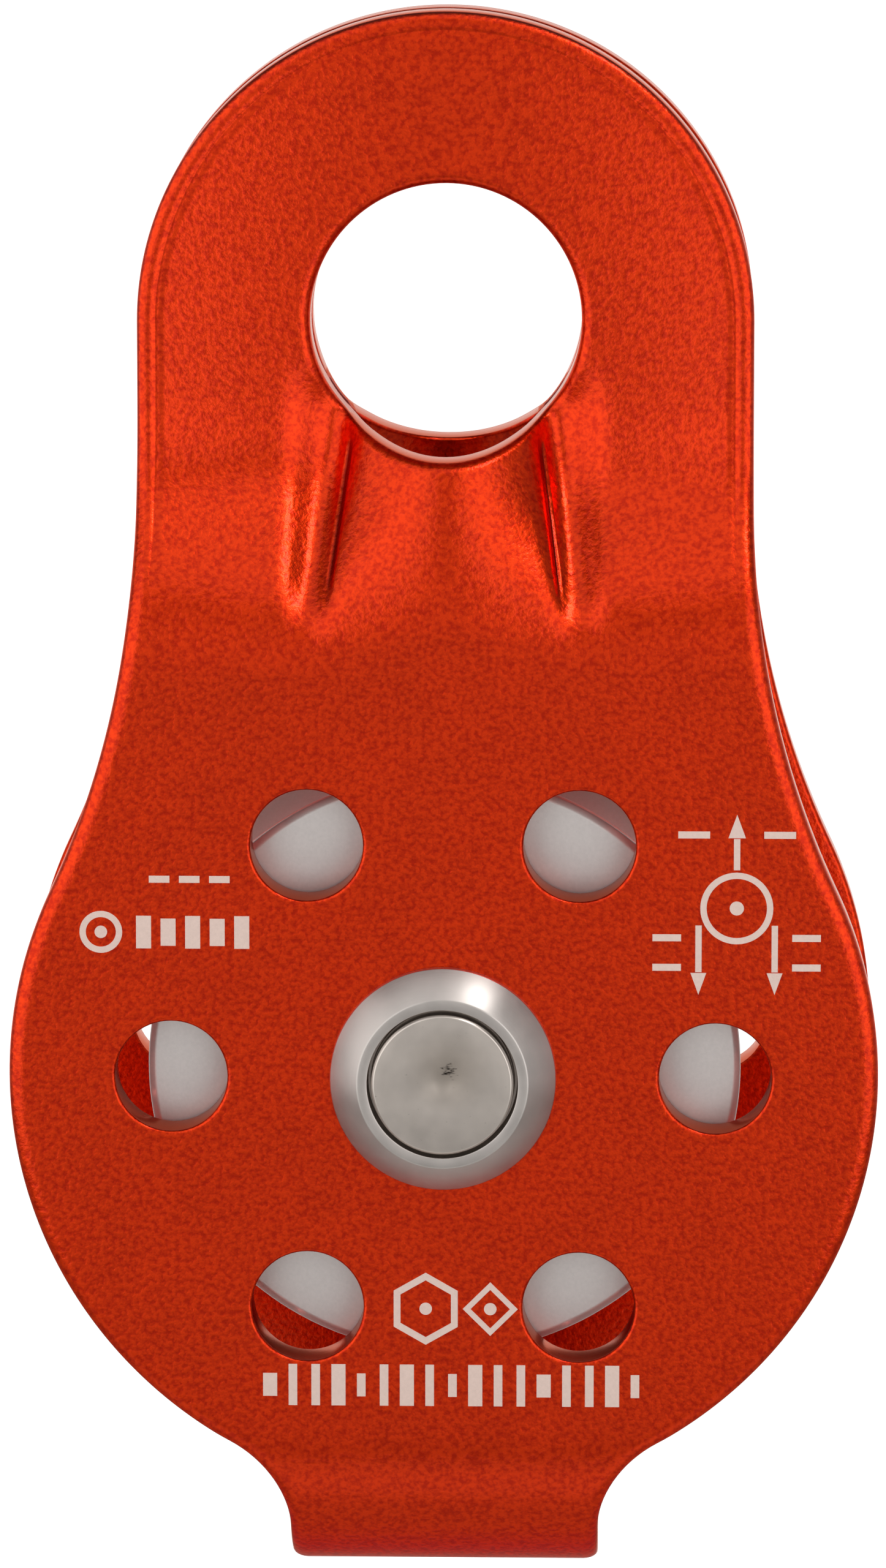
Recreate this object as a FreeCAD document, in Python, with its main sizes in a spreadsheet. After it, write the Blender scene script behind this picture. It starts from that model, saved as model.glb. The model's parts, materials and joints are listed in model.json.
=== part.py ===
"""Fixed-cheek rope pulley for climbing and rigging, in millimetres.

One aluminium plate is folded into a U. Its two legs are the cheeks, its bend is the strap
under the sheave, and above the neck both legs are pressed inwards until they meet at the
eye. A grooved sheave turns on two ball bearings, on a steel pin held by a bevelled collar
outside each cheek.

Frame: the origin is the centre of the eye, +Z is up, +Y is the axle's direction (the front
cheek faces -Y) and +X is to the right seen from the front. Heights named "above the axle"
are measured from the axle, which hangs eye_to_axle below the origin.
"""
import FreeCAD, Part
import math
import os
import Sketcher

V = FreeCAD.Vector

# ---------------------------------------------------------------- driving dimensions

DIMENSIONS = {
    # folded side plate
    "eye_to_axle": 47.4,         # eye centre to axle
    "plate_thickness": 3.0,
    "cheek_gap": 15.0,           # between the cheeks' inner faces
    "eye_gap": 0.3,              # between the two legs where the eye's pads meet
    "body_radius": 27.5,         # round the axle
    "eye_radius": 19.5,          # outside of the eye
    "neck_radius": 57.0,         # hollow curve from the eye to the body
    "strap_half_width": 9.85,
    "strap_fillet": 7.5,         # hollow curve from the body to the strap
    "bend_drop": 23.4,           # bend's centre line below the axle
    "eye_bore_radius": 8.6,
    "eye_bore_lip": 0.6,         # rounding of the eye's bore
    "hole_radius": 3.55,         # lightening holes
    "hole_circle": 17.2,
    "hole_lip": 0.2,
    "edge_round": 0.8,           # rounding of the outline's edges
    # pressed neck and eye
    "press_start": 25.0,         # above the axle: the cheek starts to lean in
    "press_end": 43.0,           # above the axle: the pad is fully in
    "pad_curve": 105.0,          # radius of the hollow pads, about an upright line
    "rib_half_top": 7.0,         # half width of the rib at the eye
    "rib_half_foot": 8.5,        # half width at the rib's foot
    "rib_foot": 28.5,            # above the axle
    "rib_rise": 3.0,             # how far the rib's crest leans in at the eye
    "rib_end": 46.0,             # above the axle: the rib has run out into the pad
    "crease_depth": 1.0,         # creases along the rib's sides
    "crease_width": 2.0,         # the crease's slope on the rib's side
    "crease_reach": 10.6,        # half width at which its outer slope ends
    "crease_start": 27.0,        # above the axle
    "crease_full": 33.0,
    "crease_fade": 41.0,
    # axle and collars
    "pin_radius": 4.5,
    "pin_proud": 2.2,            # pin's end outside the cheek's face
    "pin_bevel": 0.15,
    "dimple_radius": 0.75,       # lathe centre in the pin's end
    "dimple_depth": 0.45,
    "collar_radius": 7.15,
    "collar_rim": 0.5,           # height of its upright rim
    "collar_top_radius": 5.4,
    "collar_height": 2.0,
    "collar_relief": 0.25,       # gap round the pin in the collar's mouth
    "collar_relief_depth": 0.7,
    # sheave
    "sheave_radius": 18.85,
    "sheave_width": 14.2,
    "groove_radius": 6.2,        # for 12 mm rope
    "groove_centre": 18.2,       # from the axle
    "rim_bevel": 0.45,
    "rim_bevel_depth": 0.25,
    "shoulder_radius": 7.2,      # between the bearings' seats
    # ball bearings, 9 x 17 x 5
    "bearing_outer": 8.5,
    "bearing_width": 5.0,
    "spacer_length": 4.0,        # also the distance between the bearings
    "spacer_radius": 5.6,
    "shim_thickness": 0.5,
    "inner_land": 5.75,          # inner ring's outside
    "outer_land": 7.25,          # outer ring's inside
    "ball_pitch": 6.5,
    "ball_radius": 1.1,
    "race_radius": 1.13,
    "seal_seat": 7.65,
    "seal_bore": 5.85,
    "seal_thickness": 0.4,
    "seal_recess": 0.05,
    "cage_inner": 6.1,
    "cage_outer": 6.9,
    "cage_open_side": 0.55,
    "cage_ring_side": 1.75,
    "pocket_radius": 1.18,
}
BALL_COUNT = 10
HOLE_COUNT = 6
RIB_BOW = 1.4        # 1 is a straight crest; more lets it lean in later
SPARE = 1.0          # how far tools and blanks run past what they cut, in mm

doc = FreeCAD.newDocument("rope_pulley")
sheet = doc.addObject("Spreadsheet::Sheet", "Sizes")
for row, (alias, value) in enumerate(DIMENSIONS.items(), start=1):
    sheet.set(f"A{row}", alias)
    sheet.set(f"B{row}", str(value))
    sheet.setAlias(f"B{row}", alias)
doc.recompute()


def size(alias):
    """One driving dimension, read back from the sheet."""
    return float(sheet.get(alias))


def with_sheet(formula):
    """The formula with each alias written as the sheet's cell."""
    words = []
    for word in formula.split():
        words.append(f"Sizes.{word}" if word in DIMENSIONS else word)
    return " ".join(words)


def evaluate(formula):
    """The formula's value in millimetres."""
    return float(sheet.evalExpression(with_sheet(formula)))


def bind(thing, **formulas):
    """Bind an object's properties to formulas of the sheet."""
    for name, formula in formulas.items():
        thing.setExpression(name.replace("__", "."), with_sheet(formula))


# ---------------------------------------------------------------- helpers for turned pieces

TURN_TO_Y = FreeCAD.Rotation(V(1, 0, 0), -90)    # local +Z becomes +Y


def origin_feature(body, role):
    """The body's own origin plane or axis with that role."""
    return next(f for f in body.Origin.OriginFeatures if f.Role == role)


def sketch_on(body, name, role="XY_Plane"):
    """An empty sketch on one of the body's own origin planes."""
    sketch = body.newObject("Sketcher::SketchObject", name)
    sketch.AttachmentSupport = [(origin_feature(body, role), "")]
    sketch.MapMode = "FlatFace"
    return sketch


def place_vertex(sketch, curve, vertex, label, formulas):
    """Hold a sketch vertex at two formulas of the sheet."""
    for kind, formula in zip(("DistanceX", "DistanceY"), formulas):
        value = evaluate(formula)
        index = sketch.addConstraint(Sketcher.Constraint(kind, -1, 1, curve, vertex, value))
        name = f"{label}_{kind[-1]}"
        sketch.renameConstraint(index, name)
        sketch.setExpression(f"Constraints.{name}", with_sheet(formula))


def section_sketch(body, name, corners):
    """A closed outline of straight lines; each corner is (radius, along the axle)."""
    sketch = sketch_on(body, name)
    points = [V(evaluate(r), evaluate(a), 0) for r, a in corners]
    count = len(points)
    for i in range(count):
        sketch.addGeometry(Part.LineSegment(points[i], points[(i + 1) % count]), False)
    for i in range(count):
        sketch.addConstraint(Sketcher.Constraint("Coincident", i, 2, (i + 1) % count, 1))
    for i in range(count):
        place_vertex(sketch, i, 1, f"corner{i}", corners[i])
    return sketch


def circle_sketch(body, name, centre, radius):
    """A circle held by its centre (radius, along the axle) and its own radius."""
    sketch = sketch_on(body, name)
    middle = V(evaluate(centre[0]), evaluate(centre[1]), 0)
    sketch.addGeometry(Part.Circle(middle, V(0, 0, 1), evaluate(radius)), False)
    place_vertex(sketch, 0, 3, "centre", centre)
    index = sketch.addConstraint(Sketcher.Constraint("Radius", 0, evaluate(radius)))
    sketch.renameConstraint(index, "circle_radius")
    sketch.setExpression("Constraints.circle_radius", with_sheet(radius))
    return sketch


def turned(label, corners, ring_grooves=(), along="0"):
    """A piece turned about the axle: a body with one revolution and its ring grooves.

    corners: the half section as (radius, along) formulas, along measured from the piece's
    own middle. ring_grooves: ((radius, along), circle radius) formulas. along: where the
    piece's middle is on the axle.
    """
    body = doc.addObject("PartDesign::Body", label)
    body.Label = label
    turn = body.newObject("PartDesign::Revolution", f"{label}_turning")
    turn.Profile = section_sketch(body, f"{label}_section", corners)
    turn.ReferenceAxis = (turn.Profile[0], ["V_Axis"])
    turn.Angle = 360
    body.Tip = turn
    doc.recompute()
    for number, (centre, radius) in enumerate(ring_grooves):
        before = body.Shape.Volume
        groove = body.newObject("PartDesign::Groove", f"{label}_groove{number}")
        groove.Profile = circle_sketch(body, f"{label}_groove{number}_section", centre, radius)
        groove.ReferenceAxis = (groove.Profile[0], ["V_Axis"])
        groove.Angle = 360
        body.Tip = groove
        doc.recompute()
        if body.Shape.Volume > before - 0.5:
            raise RuntimeError(f"{label}: a ring groove cut nothing")
    bind(body, Placement__Base__y=along, Placement__Base__z="-1 * eye_to_axle")
    return body


# ---------------------------------------------------------------- folded side plate

def ease(value, start, end):
    """0 before start, 1 after end, smooth between."""
    share = min(max((value - start) / (end - start), 0.0), 1.0)
    return share * share * (3 - 2 * share)


def pressed_in(x, height):
    """How far the cheek's outer face is pressed in, at x and a height above the axle.

    The neck leans in to the hollow pads of the eye. Between two creases, a tapered rib
    keeps the cheek's own plane up to the eye's lower edge, leaning in a little.
    """
    across = abs(x)
    full = (size("cheek_gap") - size("eye_gap")) / 2
    pad = full - across ** 2 / (2 * size("pad_curve"))
    floor = pad * ease(height, size("press_start"), size("press_end"))

    rib_top = size("eye_to_axle") - size("eye_bore_radius")
    up_rib = (height - size("rib_foot")) / (rib_top - size("rib_foot"))
    half = size("rib_half_foot") + (size("rib_half_top") - size("rib_half_foot")) * up_rib
    half = min(half, size("rib_half_foot"))

    fade = ease(height, size("crease_start"), size("crease_full"))
    fade *= 1 - ease(height, size("crease_fade"), size("rib_end"))
    outer_slope = 1 - ease(across, half, size("crease_reach"))
    inner_slope = ease(across, half - size("crease_width"), half)
    floor += size("crease_depth") * fade * outer_slope * inner_slope

    crest = size("rib_rise") * max(up_rib, 0.0) ** RIB_BOW
    lift = max(1 - (across / half) ** 2, 0.0)
    lift *= 1 - ease(height, size("crease_fade"), size("rib_end"))
    return floor - lift * max(floor - crest, 0.0)


def knots(count, degree=3):
    """Knots and multiplicities of a clamped uniform spline with that many poles."""
    inner = count - degree
    values = [float(k) for k in range(inner + 1)]
    times = [degree + 1] + [1] * (inner - 1) + [degree + 1]
    return values, times


def face_from_poles(poles):
    """A cubic face steered by a grid of poles; where they lie in a plane, so does it."""
    u_knots, u_times = knots(len(poles))
    v_knots, v_times = knots(len(poles[0]))
    surface = Part.BSplineSurface()
    surface.buildFromPolesMultsKnots(poles, u_times, v_times, u_knots, v_knots,
                                     False, False, 3, 3)
    return surface


def pressed_slab(low, high, half_width):
    """The pressed part of the front cheek, before its outline is cut."""
    step = 0.75              # between the poles of its faces
    nearby = 0.4             # either side, to measure the slope
    most_slant = 1.25        # a steeper wall gets no thicker
    axle = -size("eye_to_axle")
    face = -size("cheek_gap") / 2 - size("plate_thickness")
    limit = -size("eye_gap") / 2
    columns = round(2 * half_width / step) + 1
    rows = round((high - low) / step) + 1
    outer, inner = [], []
    for i in range(columns):
        x = -half_width + 2 * half_width * i / (columns - 1)
        outer_column, inner_column = [], []
        for k in range(rows):
            height = low + (high - low) * k / (rows - 1)
            depth = pressed_in(x, height)
            rise_x = pressed_in(x + nearby, height) - pressed_in(x - nearby, height)
            rise_z = pressed_in(x, height + nearby) - pressed_in(x, height - nearby)
            slant = math.hypot(1, rise_x / (2 * nearby), rise_z / (2 * nearby))
            thick = size("plate_thickness") * min(slant, most_slant)
            outer_column.append(V(x, face + depth, axle + height))
            inner_column.append(V(x, min(face + depth + thick, limit), axle + height))
        outer.append(outer_column)
        inner.append(inner_column)
    front, back = face_from_poles(outer), face_from_poles(inner)
    faces = [front.toShape(), back.toShape()]
    sides = [(front.uIso(bound), back.uIso(bound)) for bound in front.bounds()[:2]]
    sides += [(front.vIso(bound), back.vIso(bound)) for bound in front.bounds()[2:]]
    faces += [Part.makeRuledSurface(a.toShape(), b.toShape()) for a, b in sides]
    shell = Part.makeShell(faces)
    shell.sewShape()
    solid = Part.makeSolid(Part.Shell(shell.Faces))
    if solid.Volume < 0:
        solid.reverse()
    return solid


def plate_outline():
    """The cheek's outline in the XZ plane: eye, necks, body, fillets and strap."""
    axle = -size("eye_to_axle")
    eye, body, neck = size("eye_radius"), size("body_radius"), size("neck_radius")
    strap, fillet = size("strap_half_width"), size("strap_fillet")
    lowest = axle - size("bend_drop") - size("cheek_gap") / 2 - size("plate_thickness") - SPARE

    def tangent_arc(radius, offset, upward):
        """Centre of an arc tangent to the body circle and to the line x = offset - radius."""
        rise = math.sqrt((body + radius) ** 2 - offset ** 2)
        return V(offset, 0, axle + (rise if upward else -rise))

    def on_body(centre):
        """Where the body circle touches an arc with that centre."""
        away = centre - V(0, 0, axle)
        return V(0, 0, axle) + away * (body / away.Length)

    neck_centre = tangent_arc(neck, eye + neck, True)
    fillet_centre = tangent_arc(fillet, strap + fillet, False)

    def side(sign):
        """Points of one side, from the eye down to the strap's end."""
        def flip(p):
            return V(sign * p.x, 0, p.z)

        neck_top = V(eye, 0, neck_centre.z)
        neck_foot = on_body(neck_centre)
        fillet_top = on_body(fillet_centre)
        fillet_foot = V(strap, 0, fillet_centre.z)

        def middle(centre, radius, a, b):
            toward = (a + b) * 0.5 - centre
            return centre + toward * (radius / toward.Length)

        neck_mid = middle(neck_centre, neck, neck_top, neck_foot)
        body_mid = V(body, 0, axle)
        fillet_mid = middle(fillet_centre, fillet, fillet_top, fillet_foot)
        return [flip(p) for p in (V(eye, 0, 0), neck_top, neck_mid, neck_foot, body_mid,
                                  fillet_top, fillet_mid, fillet_foot, V(strap, 0, lowest))]

    def side_edges(p):
        return [Part.LineSegment(p[0], p[1]), Part.Arc(p[1], p[2], p[3]),
                Part.Arc(p[3], p[4], p[5]), Part.Arc(p[5], p[6], p[7]),
                Part.LineSegment(p[7], p[8])]

    right, left = side(1), side(-1)
    curves = side_edges(right) + [Part.LineSegment(right[8], left[8])] + side_edges(left)
    curves.append(Part.Arc(left[0], V(0, 0, eye), right[0]))
    return Part.Wire(Part.__sortEdges__([curve.toShape() for curve in curves]))


def feature(label, shape):
    """A document object that holds a shape made here."""
    thing = doc.addObject("Part::Feature", label)
    thing.Label = label
    thing.Shape = shape
    return thing


def cylinder(label, radius, length, height="0", x="0"):
    """A cylinder along Y through the plate, at a height above the eye's centre."""
    thing = doc.addObject("Part::Cylinder", label)
    thing.Placement = FreeCAD.Placement(V(0, 0, 0), TURN_TO_Y)
    bind(thing, Radius=radius, Height=length)
    bind(thing, Placement__Base__y=f"-0.5 * ( {length} )")
    bind(thing, Placement__Base__z=height, Placement__Base__x=x)
    return thing


def outside_edges(shape):
    """Where the plate's outside faces meet its cut walls: {"outline": [...], ...}.

    Every list holds edge numbers, counted from 1. An edge between one wall, whose normal has
    no part along Y, and one outside face, whose normal points away from the middle, counts.
    """
    axle = -size("eye_to_axle")
    flat_wall = 1e-3
    found = {"outline": [], "eye": [], "holes": []}
    for number, edge in enumerate(shape.Edges, start=1):
        middle = edge.valueAt((edge.FirstParameter + edge.LastParameter) / 2)
        normals = []
        for face in shape.ancestorsOfType(edge, Part.Face):
            u, v = face.Surface.parameter(middle)
            normals.append(face.normalAt(u, v))
        walls = [n for n in normals if abs(n.y) < flat_wall]
        others = [n for n in normals if abs(n.y) >= flat_wall]
        if len(walls) != 1 or len(others) != 1 or others[0].y * middle.y <= 0:
            continue
        from_axle = math.hypot(middle.x, middle.z - axle)
        if math.hypot(middle.x, middle.z) < size("eye_bore_radius") + flat_wall:
            found["eye"].append(number)
        elif from_axle > size("hole_circle") + size("hole_radius") + flat_wall:
            found["outline"].append(number)
        elif from_axle > size("pin_radius") + flat_wall:
            found["holes"].append(number)
    return found


def side_plate():
    """The folded plate: blank, outline, bores."""
    reach = size("body_radius") + SPARE
    low = size("press_start") - 5
    high = size("eye_to_axle") + size("eye_radius") + SPARE
    axle = -size("eye_to_axle")
    half_out = size("cheek_gap") / 2 + size("plate_thickness")
    bend_z = axle - size("bend_drop")

    slab = pressed_slab(low, high, size("eye_radius") + 3)
    flat = Part.makeBox(2 * reach, size("plate_thickness"), low + size("bend_drop"),
                        V(-reach, -half_out, bend_z))
    leg = feature("front_leg", slab.fuse(flat))
    back_leg = doc.addObject("Part::Mirroring", "rear_leg")
    back_leg.Source = leg
    back_leg.Normal = V(0, 1, 0)

    ring = Part.makeCylinder(half_out, 2 * reach, V(-reach, 0, bend_z), V(1, 0, 0))
    ring = ring.cut(Part.makeCylinder(size("cheek_gap") / 2, 2 * reach,
                                      V(-reach, 0, bend_z), V(1, 0, 0)))
    lower = Part.makeBox(2 * reach, 2 * half_out, half_out, V(-reach, -half_out, bend_z - half_out))
    bend = feature("bend", ring.common(lower))

    blank = doc.addObject("Part::MultiFuse", "folded_blank")
    blank.Shapes = [leg, back_leg, bend]

    outline = feature("plate_outline", Part.Face(plate_outline()))
    outline.Placement.Base = V(0, -half_out - SPARE, 0)
    prism = doc.addObject("Part::Extrusion", "outline_prism")
    prism.Base = outline
    prism.Dir = V(0, 1, 0)
    prism.LengthFwd = 2 * (half_out + SPARE)
    prism.Solid = True

    trimmed = doc.addObject("Part::Common", "trimmed_plate")
    trimmed.Base = blank
    trimmed.Tool = prism

    through = "cheek_gap + 4 * plate_thickness"
    bores = [cylinder("pin_bore", "pin_radius", through, "-1 * eye_to_axle")]
    # the eye's bore is drilled in two sectors, so the long wall through the rib is a face of
    # its own below the round wall through the pads
    rib_sector = 120
    for name, start, angle in (("eye_bore", 90 + rib_sector / 2, 360 - rib_sector),
                               ("eye_bore_rib", 90 - rib_sector / 2, rib_sector)):
        sector = cylinder(name, "eye_bore_radius", through)
        sector.Angle = angle
        sector.Placement.Rotation = TURN_TO_Y.multiply(FreeCAD.Rotation(V(0, 0, 1), start))
        bores.append(sector)
    for number in range(HOLE_COUNT):
        turn = f"{360 / HOLE_COUNT * number} * 1 deg"
        bores.append(cylinder(f"lightening_hole{number}", "hole_radius", through,
                              f"-1 * eye_to_axle + hole_circle * sin( {turn} )",
                              f"hole_circle * cos( {turn} )"))
    tools = doc.addObject("Part::Compound", "plate_bores")
    tools.Links = bores
    drilled = doc.addObject("Part::Cut", "drilled_plate")
    drilled.Base = trimmed
    drilled.Tool = tools
    drilled.Refine = False                 # refining would join the two sectors again
    doc.recompute()

    eased = doc.addObject("Part::Fillet", "eased_plate")
    eased.Base = drilled
    edges = outside_edges(drilled.Shape)
    radii = [("outline", size("edge_round")), ("eye", size("eye_bore_lip"))]
    eased.Edges = [(number, r, r) for group, r in radii for number in edges[group]]
    doc.recompute()

    plate = doc.addObject("Part::Chamfer", "folded_side_plate")
    plate.Label = "folded_side_plate"
    plate.Base = eased
    lip = size("hole_lip")
    plate.Edges = [(number, lip, lip) for number in outside_edges(eased.Shape)["holes"]]
    return plate


# ---------------------------------------------------------------- axle, collars, sheave

def axle_pin():
    """The pin through both cheeks, with a lathe centre in each end."""
    end = "cheek_gap / 2 + plate_thickness + pin_proud"
    rim = f"{end} - pin_bevel"
    floor = f"{end} - dimple_depth"
    bare = "pin_radius - pin_bevel"
    return turned("axle_pin", [
        ("0", f"-1 * ( {floor} )"), ("dimple_radius", f"-1 * ( {end} )"),
        (bare, f"-1 * ( {end} )"), ("pin_radius", f"-1 * ( {rim} )"),
        ("pin_radius", rim), (bare, end), ("dimple_radius", end), ("0", floor)])


def collar(label, side):
    """A bevelled collar; its flat bottom lies on the cheek and its cone points away."""
    mouth = "pin_radius + collar_relief"
    relief = "collar_height - collar_relief_depth"

    def out(formula):
        return f"{side} * ( {formula} )"

    return turned(label, [
        ("pin_radius", "0"), ("collar_radius", "0"), ("collar_radius", out("collar_rim")),
        ("collar_top_radius", out("collar_height")), (mouth, out("collar_height")),
        (mouth, out(relief)), ("pin_radius", out(relief))],
        along=out("cheek_gap / 2 + plate_thickness"))


def ring(label, inner, outer, thickness, along="0"):
    """A plain ring: shim or spacer."""
    half = f"{thickness} / 2"
    return turned(label, [(inner, f"-1 * {half}"), (outer, f"-1 * {half}"),
                          (outer, half), (inner, half)], along=along)


def sheave():
    """The wheel: bearing seats either side of a shoulder, and the rope groove."""
    face = "sheave_width / 2"
    seat = "spacer_length / 2"
    bevelled = "sheave_radius - rim_bevel"
    edge = "sheave_width / 2 - rim_bevel_depth"
    return turned("sheave", [
        ("shoulder_radius", f"-1 * {seat}"), ("bearing_outer", f"-1 * {seat}"),
        ("bearing_outer", f"-1 * {face}"), (bevelled, f"-1 * {face}"),
        ("sheave_radius", f"-1 * ( {edge} )"), ("sheave_radius", edge),
        (bevelled, face), ("bearing_outer", face),
        ("bearing_outer", seat), ("shoulder_radius", seat)],
        ring_grooves=[(("groove_centre", "0"), "groove_radius")])


# ---------------------------------------------------------------- ball bearings

def ball_places():
    """Unit directions of the balls round the axle."""
    turns = [2 * math.pi * number / BALL_COUNT for number in range(BALL_COUNT)]
    return [(math.cos(turn), math.sin(turn)) for turn in turns]


def ball_set(label, along):
    """A bearing's balls, as one object of separate solids."""
    balls = []
    for number, (cosine, sine) in enumerate(ball_places()):
        ball = doc.addObject("Part::Sphere", f"{label}{number}")
        bind(ball, Radius="ball_radius", Placement__Base__y=along)
        bind(ball, Placement__Base__x=f"ball_pitch * {cosine:.9f}")
        bind(ball, Placement__Base__z=f"-1 * eye_to_axle + ball_pitch * {sine:.9f}")
        balls.append(ball)
    group = doc.addObject("Part::Compound", label)
    group.Label = label
    group.Links = balls
    return group


def pockets(label, along):
    """One radial drill through the cage's wall at each ball's place."""
    drills = []
    for number, (cosine, sine) in enumerate(ball_places()):
        drill = doc.addObject("Part::Cylinder", f"{label}{number}")
        drill.Placement.Rotation = FreeCAD.Rotation(V(0, 0, 1), V(cosine, 0, sine))
        bind(drill, Radius="pocket_radius", Height=f"cage_outer - cage_inner + {2 * SPARE}")
        start = f"( cage_inner - {SPARE} )"
        bind(drill, Placement__Base__y=along, Placement__Base__x=f"{start} * {cosine:.9f}")
        bind(drill, Placement__Base__z=f"-1 * eye_to_axle + {start} * {sine:.9f}")
        drills.append(drill)
    group = doc.addObject("Part::Compound", label)
    group.Links = drills
    return group


def cage(label, along, side):
    """A crown cage: a ring with ball pockets open towards the sheave's middle."""
    blank = turned(f"{label}_blank", [
        ("cage_inner", f"{-side} * cage_open_side"), ("cage_outer", f"{-side} * cage_open_side"),
        ("cage_outer", f"{side} * cage_ring_side"), ("cage_inner", f"{side} * cage_ring_side")],
        along=along)
    cut = doc.addObject("Part::Cut", label)
    cut.Label = label
    cut.Base = blank
    cut.Tool = pockets(f"{label}_pocket", along)
    return cut


def bearing(name, side):
    """One sealed deep-groove ball bearing; side is -1 at the front and 1 at the back."""
    along = f"{side} * ( spacer_length / 2 + bearing_width / 2 )"
    half = "bearing_width / 2"
    race = [(("ball_pitch", "0"), "race_radius")]
    step = "bearing_width / 2 - seal_recess - seal_thickness"
    inner = turned(f"{name}_bearing_inner_ring", [
        ("pin_radius", f"-1 * {half}"), ("inner_land", f"-1 * {half}"),
        ("inner_land", half), ("pin_radius", half)], race, along)
    outer = turned(f"{name}_bearing_outer_ring", [
        ("outer_land", f"-1 * ( {step} )"), ("seal_seat", f"-1 * ( {step} )"),
        ("seal_seat", f"-1 * {half}"), ("bearing_outer", f"-1 * {half}"),
        ("bearing_outer", half), ("seal_seat", half),
        ("seal_seat", step), ("outer_land", step)], race, along)
    pieces = [inner, outer]
    seal_at = "bearing_width / 2 - seal_recess - seal_thickness / 2"
    for place, sign in (("outer", side), ("inner", -side)):
        pieces.append(ring(f"{name}_bearing_{place}_seal", "seal_bore", "seal_seat",
                           "seal_thickness", f"{along} + {sign} * ( {seal_at} )"))
    pieces.append(ball_set(f"{name}_bearing_balls", along))
    pieces.append(cage(f"{name}_bearing_cage", along, side))
    return pieces


# ---------------------------------------------------------------- assembly and files

pieces = [side_plate(), axle_pin(), sheave()]
pieces += [collar("front_collar", -1), collar("rear_collar", 1)]
pieces.append(ring("bearing_spacer", "pin_radius", "spacer_radius", "spacer_length"))
for end, side in (("front", -1), ("rear", 1)):
    shim_at = f"{side} * ( cheek_gap / 2 - shim_thickness / 2 )"
    pieces.append(ring(f"{end}_shim_washer", "pin_radius", "inner_land", "shim_thickness", shim_at))
    pieces += bearing(end, side)
doc.recompute()

for thing in doc.Objects:
    if "Invalid" in thing.State or "Error" in thing.State:
        raise RuntimeError(f"{thing.Label} failed: {thing.State}")

os.makedirs("parts", exist_ok=True)
for piece in pieces:
    shape = piece.Shape
    if shape.isNull() or not shape.isValid():
        raise RuntimeError(f"{piece.Label} has no valid shape")
    shape.exportStep(f"parts/{piece.Label}.step")
    print(f"{piece.Label}: {len(shape.Solids)} solid(s), {shape.Volume:.1f} mm3")
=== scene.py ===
"""Finish pieces of a fixed-cheek rope pulley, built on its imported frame.

One anodised plate is folded into a U round a grooved sheave and pressed together at the eye.
The frame gives every position: the origin is the middle of the eye, +Z is up, the axle runs
along Y and the front cheek faces -Y. Lengths are metres; the settings hold them as
millimetres times MM.
"""

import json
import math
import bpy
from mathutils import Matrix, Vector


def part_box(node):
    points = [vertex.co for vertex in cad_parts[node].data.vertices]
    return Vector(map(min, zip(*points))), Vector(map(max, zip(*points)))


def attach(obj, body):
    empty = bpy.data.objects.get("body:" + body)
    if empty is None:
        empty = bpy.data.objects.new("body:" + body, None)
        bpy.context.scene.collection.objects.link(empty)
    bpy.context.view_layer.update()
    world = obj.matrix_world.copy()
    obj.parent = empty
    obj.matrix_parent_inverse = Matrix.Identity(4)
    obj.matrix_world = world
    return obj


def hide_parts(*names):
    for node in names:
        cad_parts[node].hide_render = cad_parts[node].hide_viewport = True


bl_info = {
    "name": "Rope pulley",
    "version": (1, 0, 0),
    "blender": (4, 5, 0),
    "location": "3D View > Sidebar > Pulley",
    "description": "Builds the finish pieces of a folded-plate rope pulley on its frame",
    "category": "Add Mesh",
}

import bmesh
import bpy
from mathutils import Matrix, Vector
from mathutils.geometry import delaunay_2d_cdt
from mathutils.kdtree import KDTree

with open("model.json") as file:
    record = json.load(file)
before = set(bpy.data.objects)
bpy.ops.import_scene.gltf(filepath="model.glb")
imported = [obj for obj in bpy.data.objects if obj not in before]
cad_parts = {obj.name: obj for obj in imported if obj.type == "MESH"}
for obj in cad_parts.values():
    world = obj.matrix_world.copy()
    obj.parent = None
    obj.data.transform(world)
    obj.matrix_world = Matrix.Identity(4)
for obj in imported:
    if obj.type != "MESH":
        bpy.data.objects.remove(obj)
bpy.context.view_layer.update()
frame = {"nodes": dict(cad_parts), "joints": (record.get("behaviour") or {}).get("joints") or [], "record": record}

MM = 0.001
FULL_TURN = 2 * math.pi
AXLE = Vector(frame["joints"][0]["pos_m"])
BODY_OF = {node: body for body, nodes in frame["record"]["behaviour"]["bodies"].items()
           for node in nodes}
PLATE_LOW, PLATE_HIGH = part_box("folded_side_plate")
PIN_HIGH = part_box("axle_pin")[1]
COLLAR_LOW, COLLAR_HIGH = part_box("rear_collar")
SHEAVE_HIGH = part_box("sheave")[1]
BEARING_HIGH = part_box("rear_bearing_outer_ring")[1]
SPACER_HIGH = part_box("bearing_spacer")[1]
EYE = next(m for m in frame["record"]["mounts"] if m["name"] == "carabiner_eye")
EYE_BORE = EYE["dims"]["r_mm"] * MM


# ---------------------------------------------------------------- settings

def linear(hex_colour):
    """An sRGB hex colour as linear red, green, blue and alpha."""
    channels = [int(hex_colour[i:i + 2], 16) / 255 for i in (1, 3, 5)]
    return [c / 12.92 if c <= 0.04045 else ((c + 0.055) / 1.055) ** 2.4 for c in channels] + [1.0]


def darker(tint, share_kept):
    """A linear colour made darker."""
    return [c * share_kept for c in tint[:3]] + [1.0]


def length(name, millimetres, description):
    """A length setting."""
    return bpy.props.FloatProperty(name=name, description=description, default=millimetres * MM,
                                   min=0.0, precision=5, unit="LENGTH")


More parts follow.
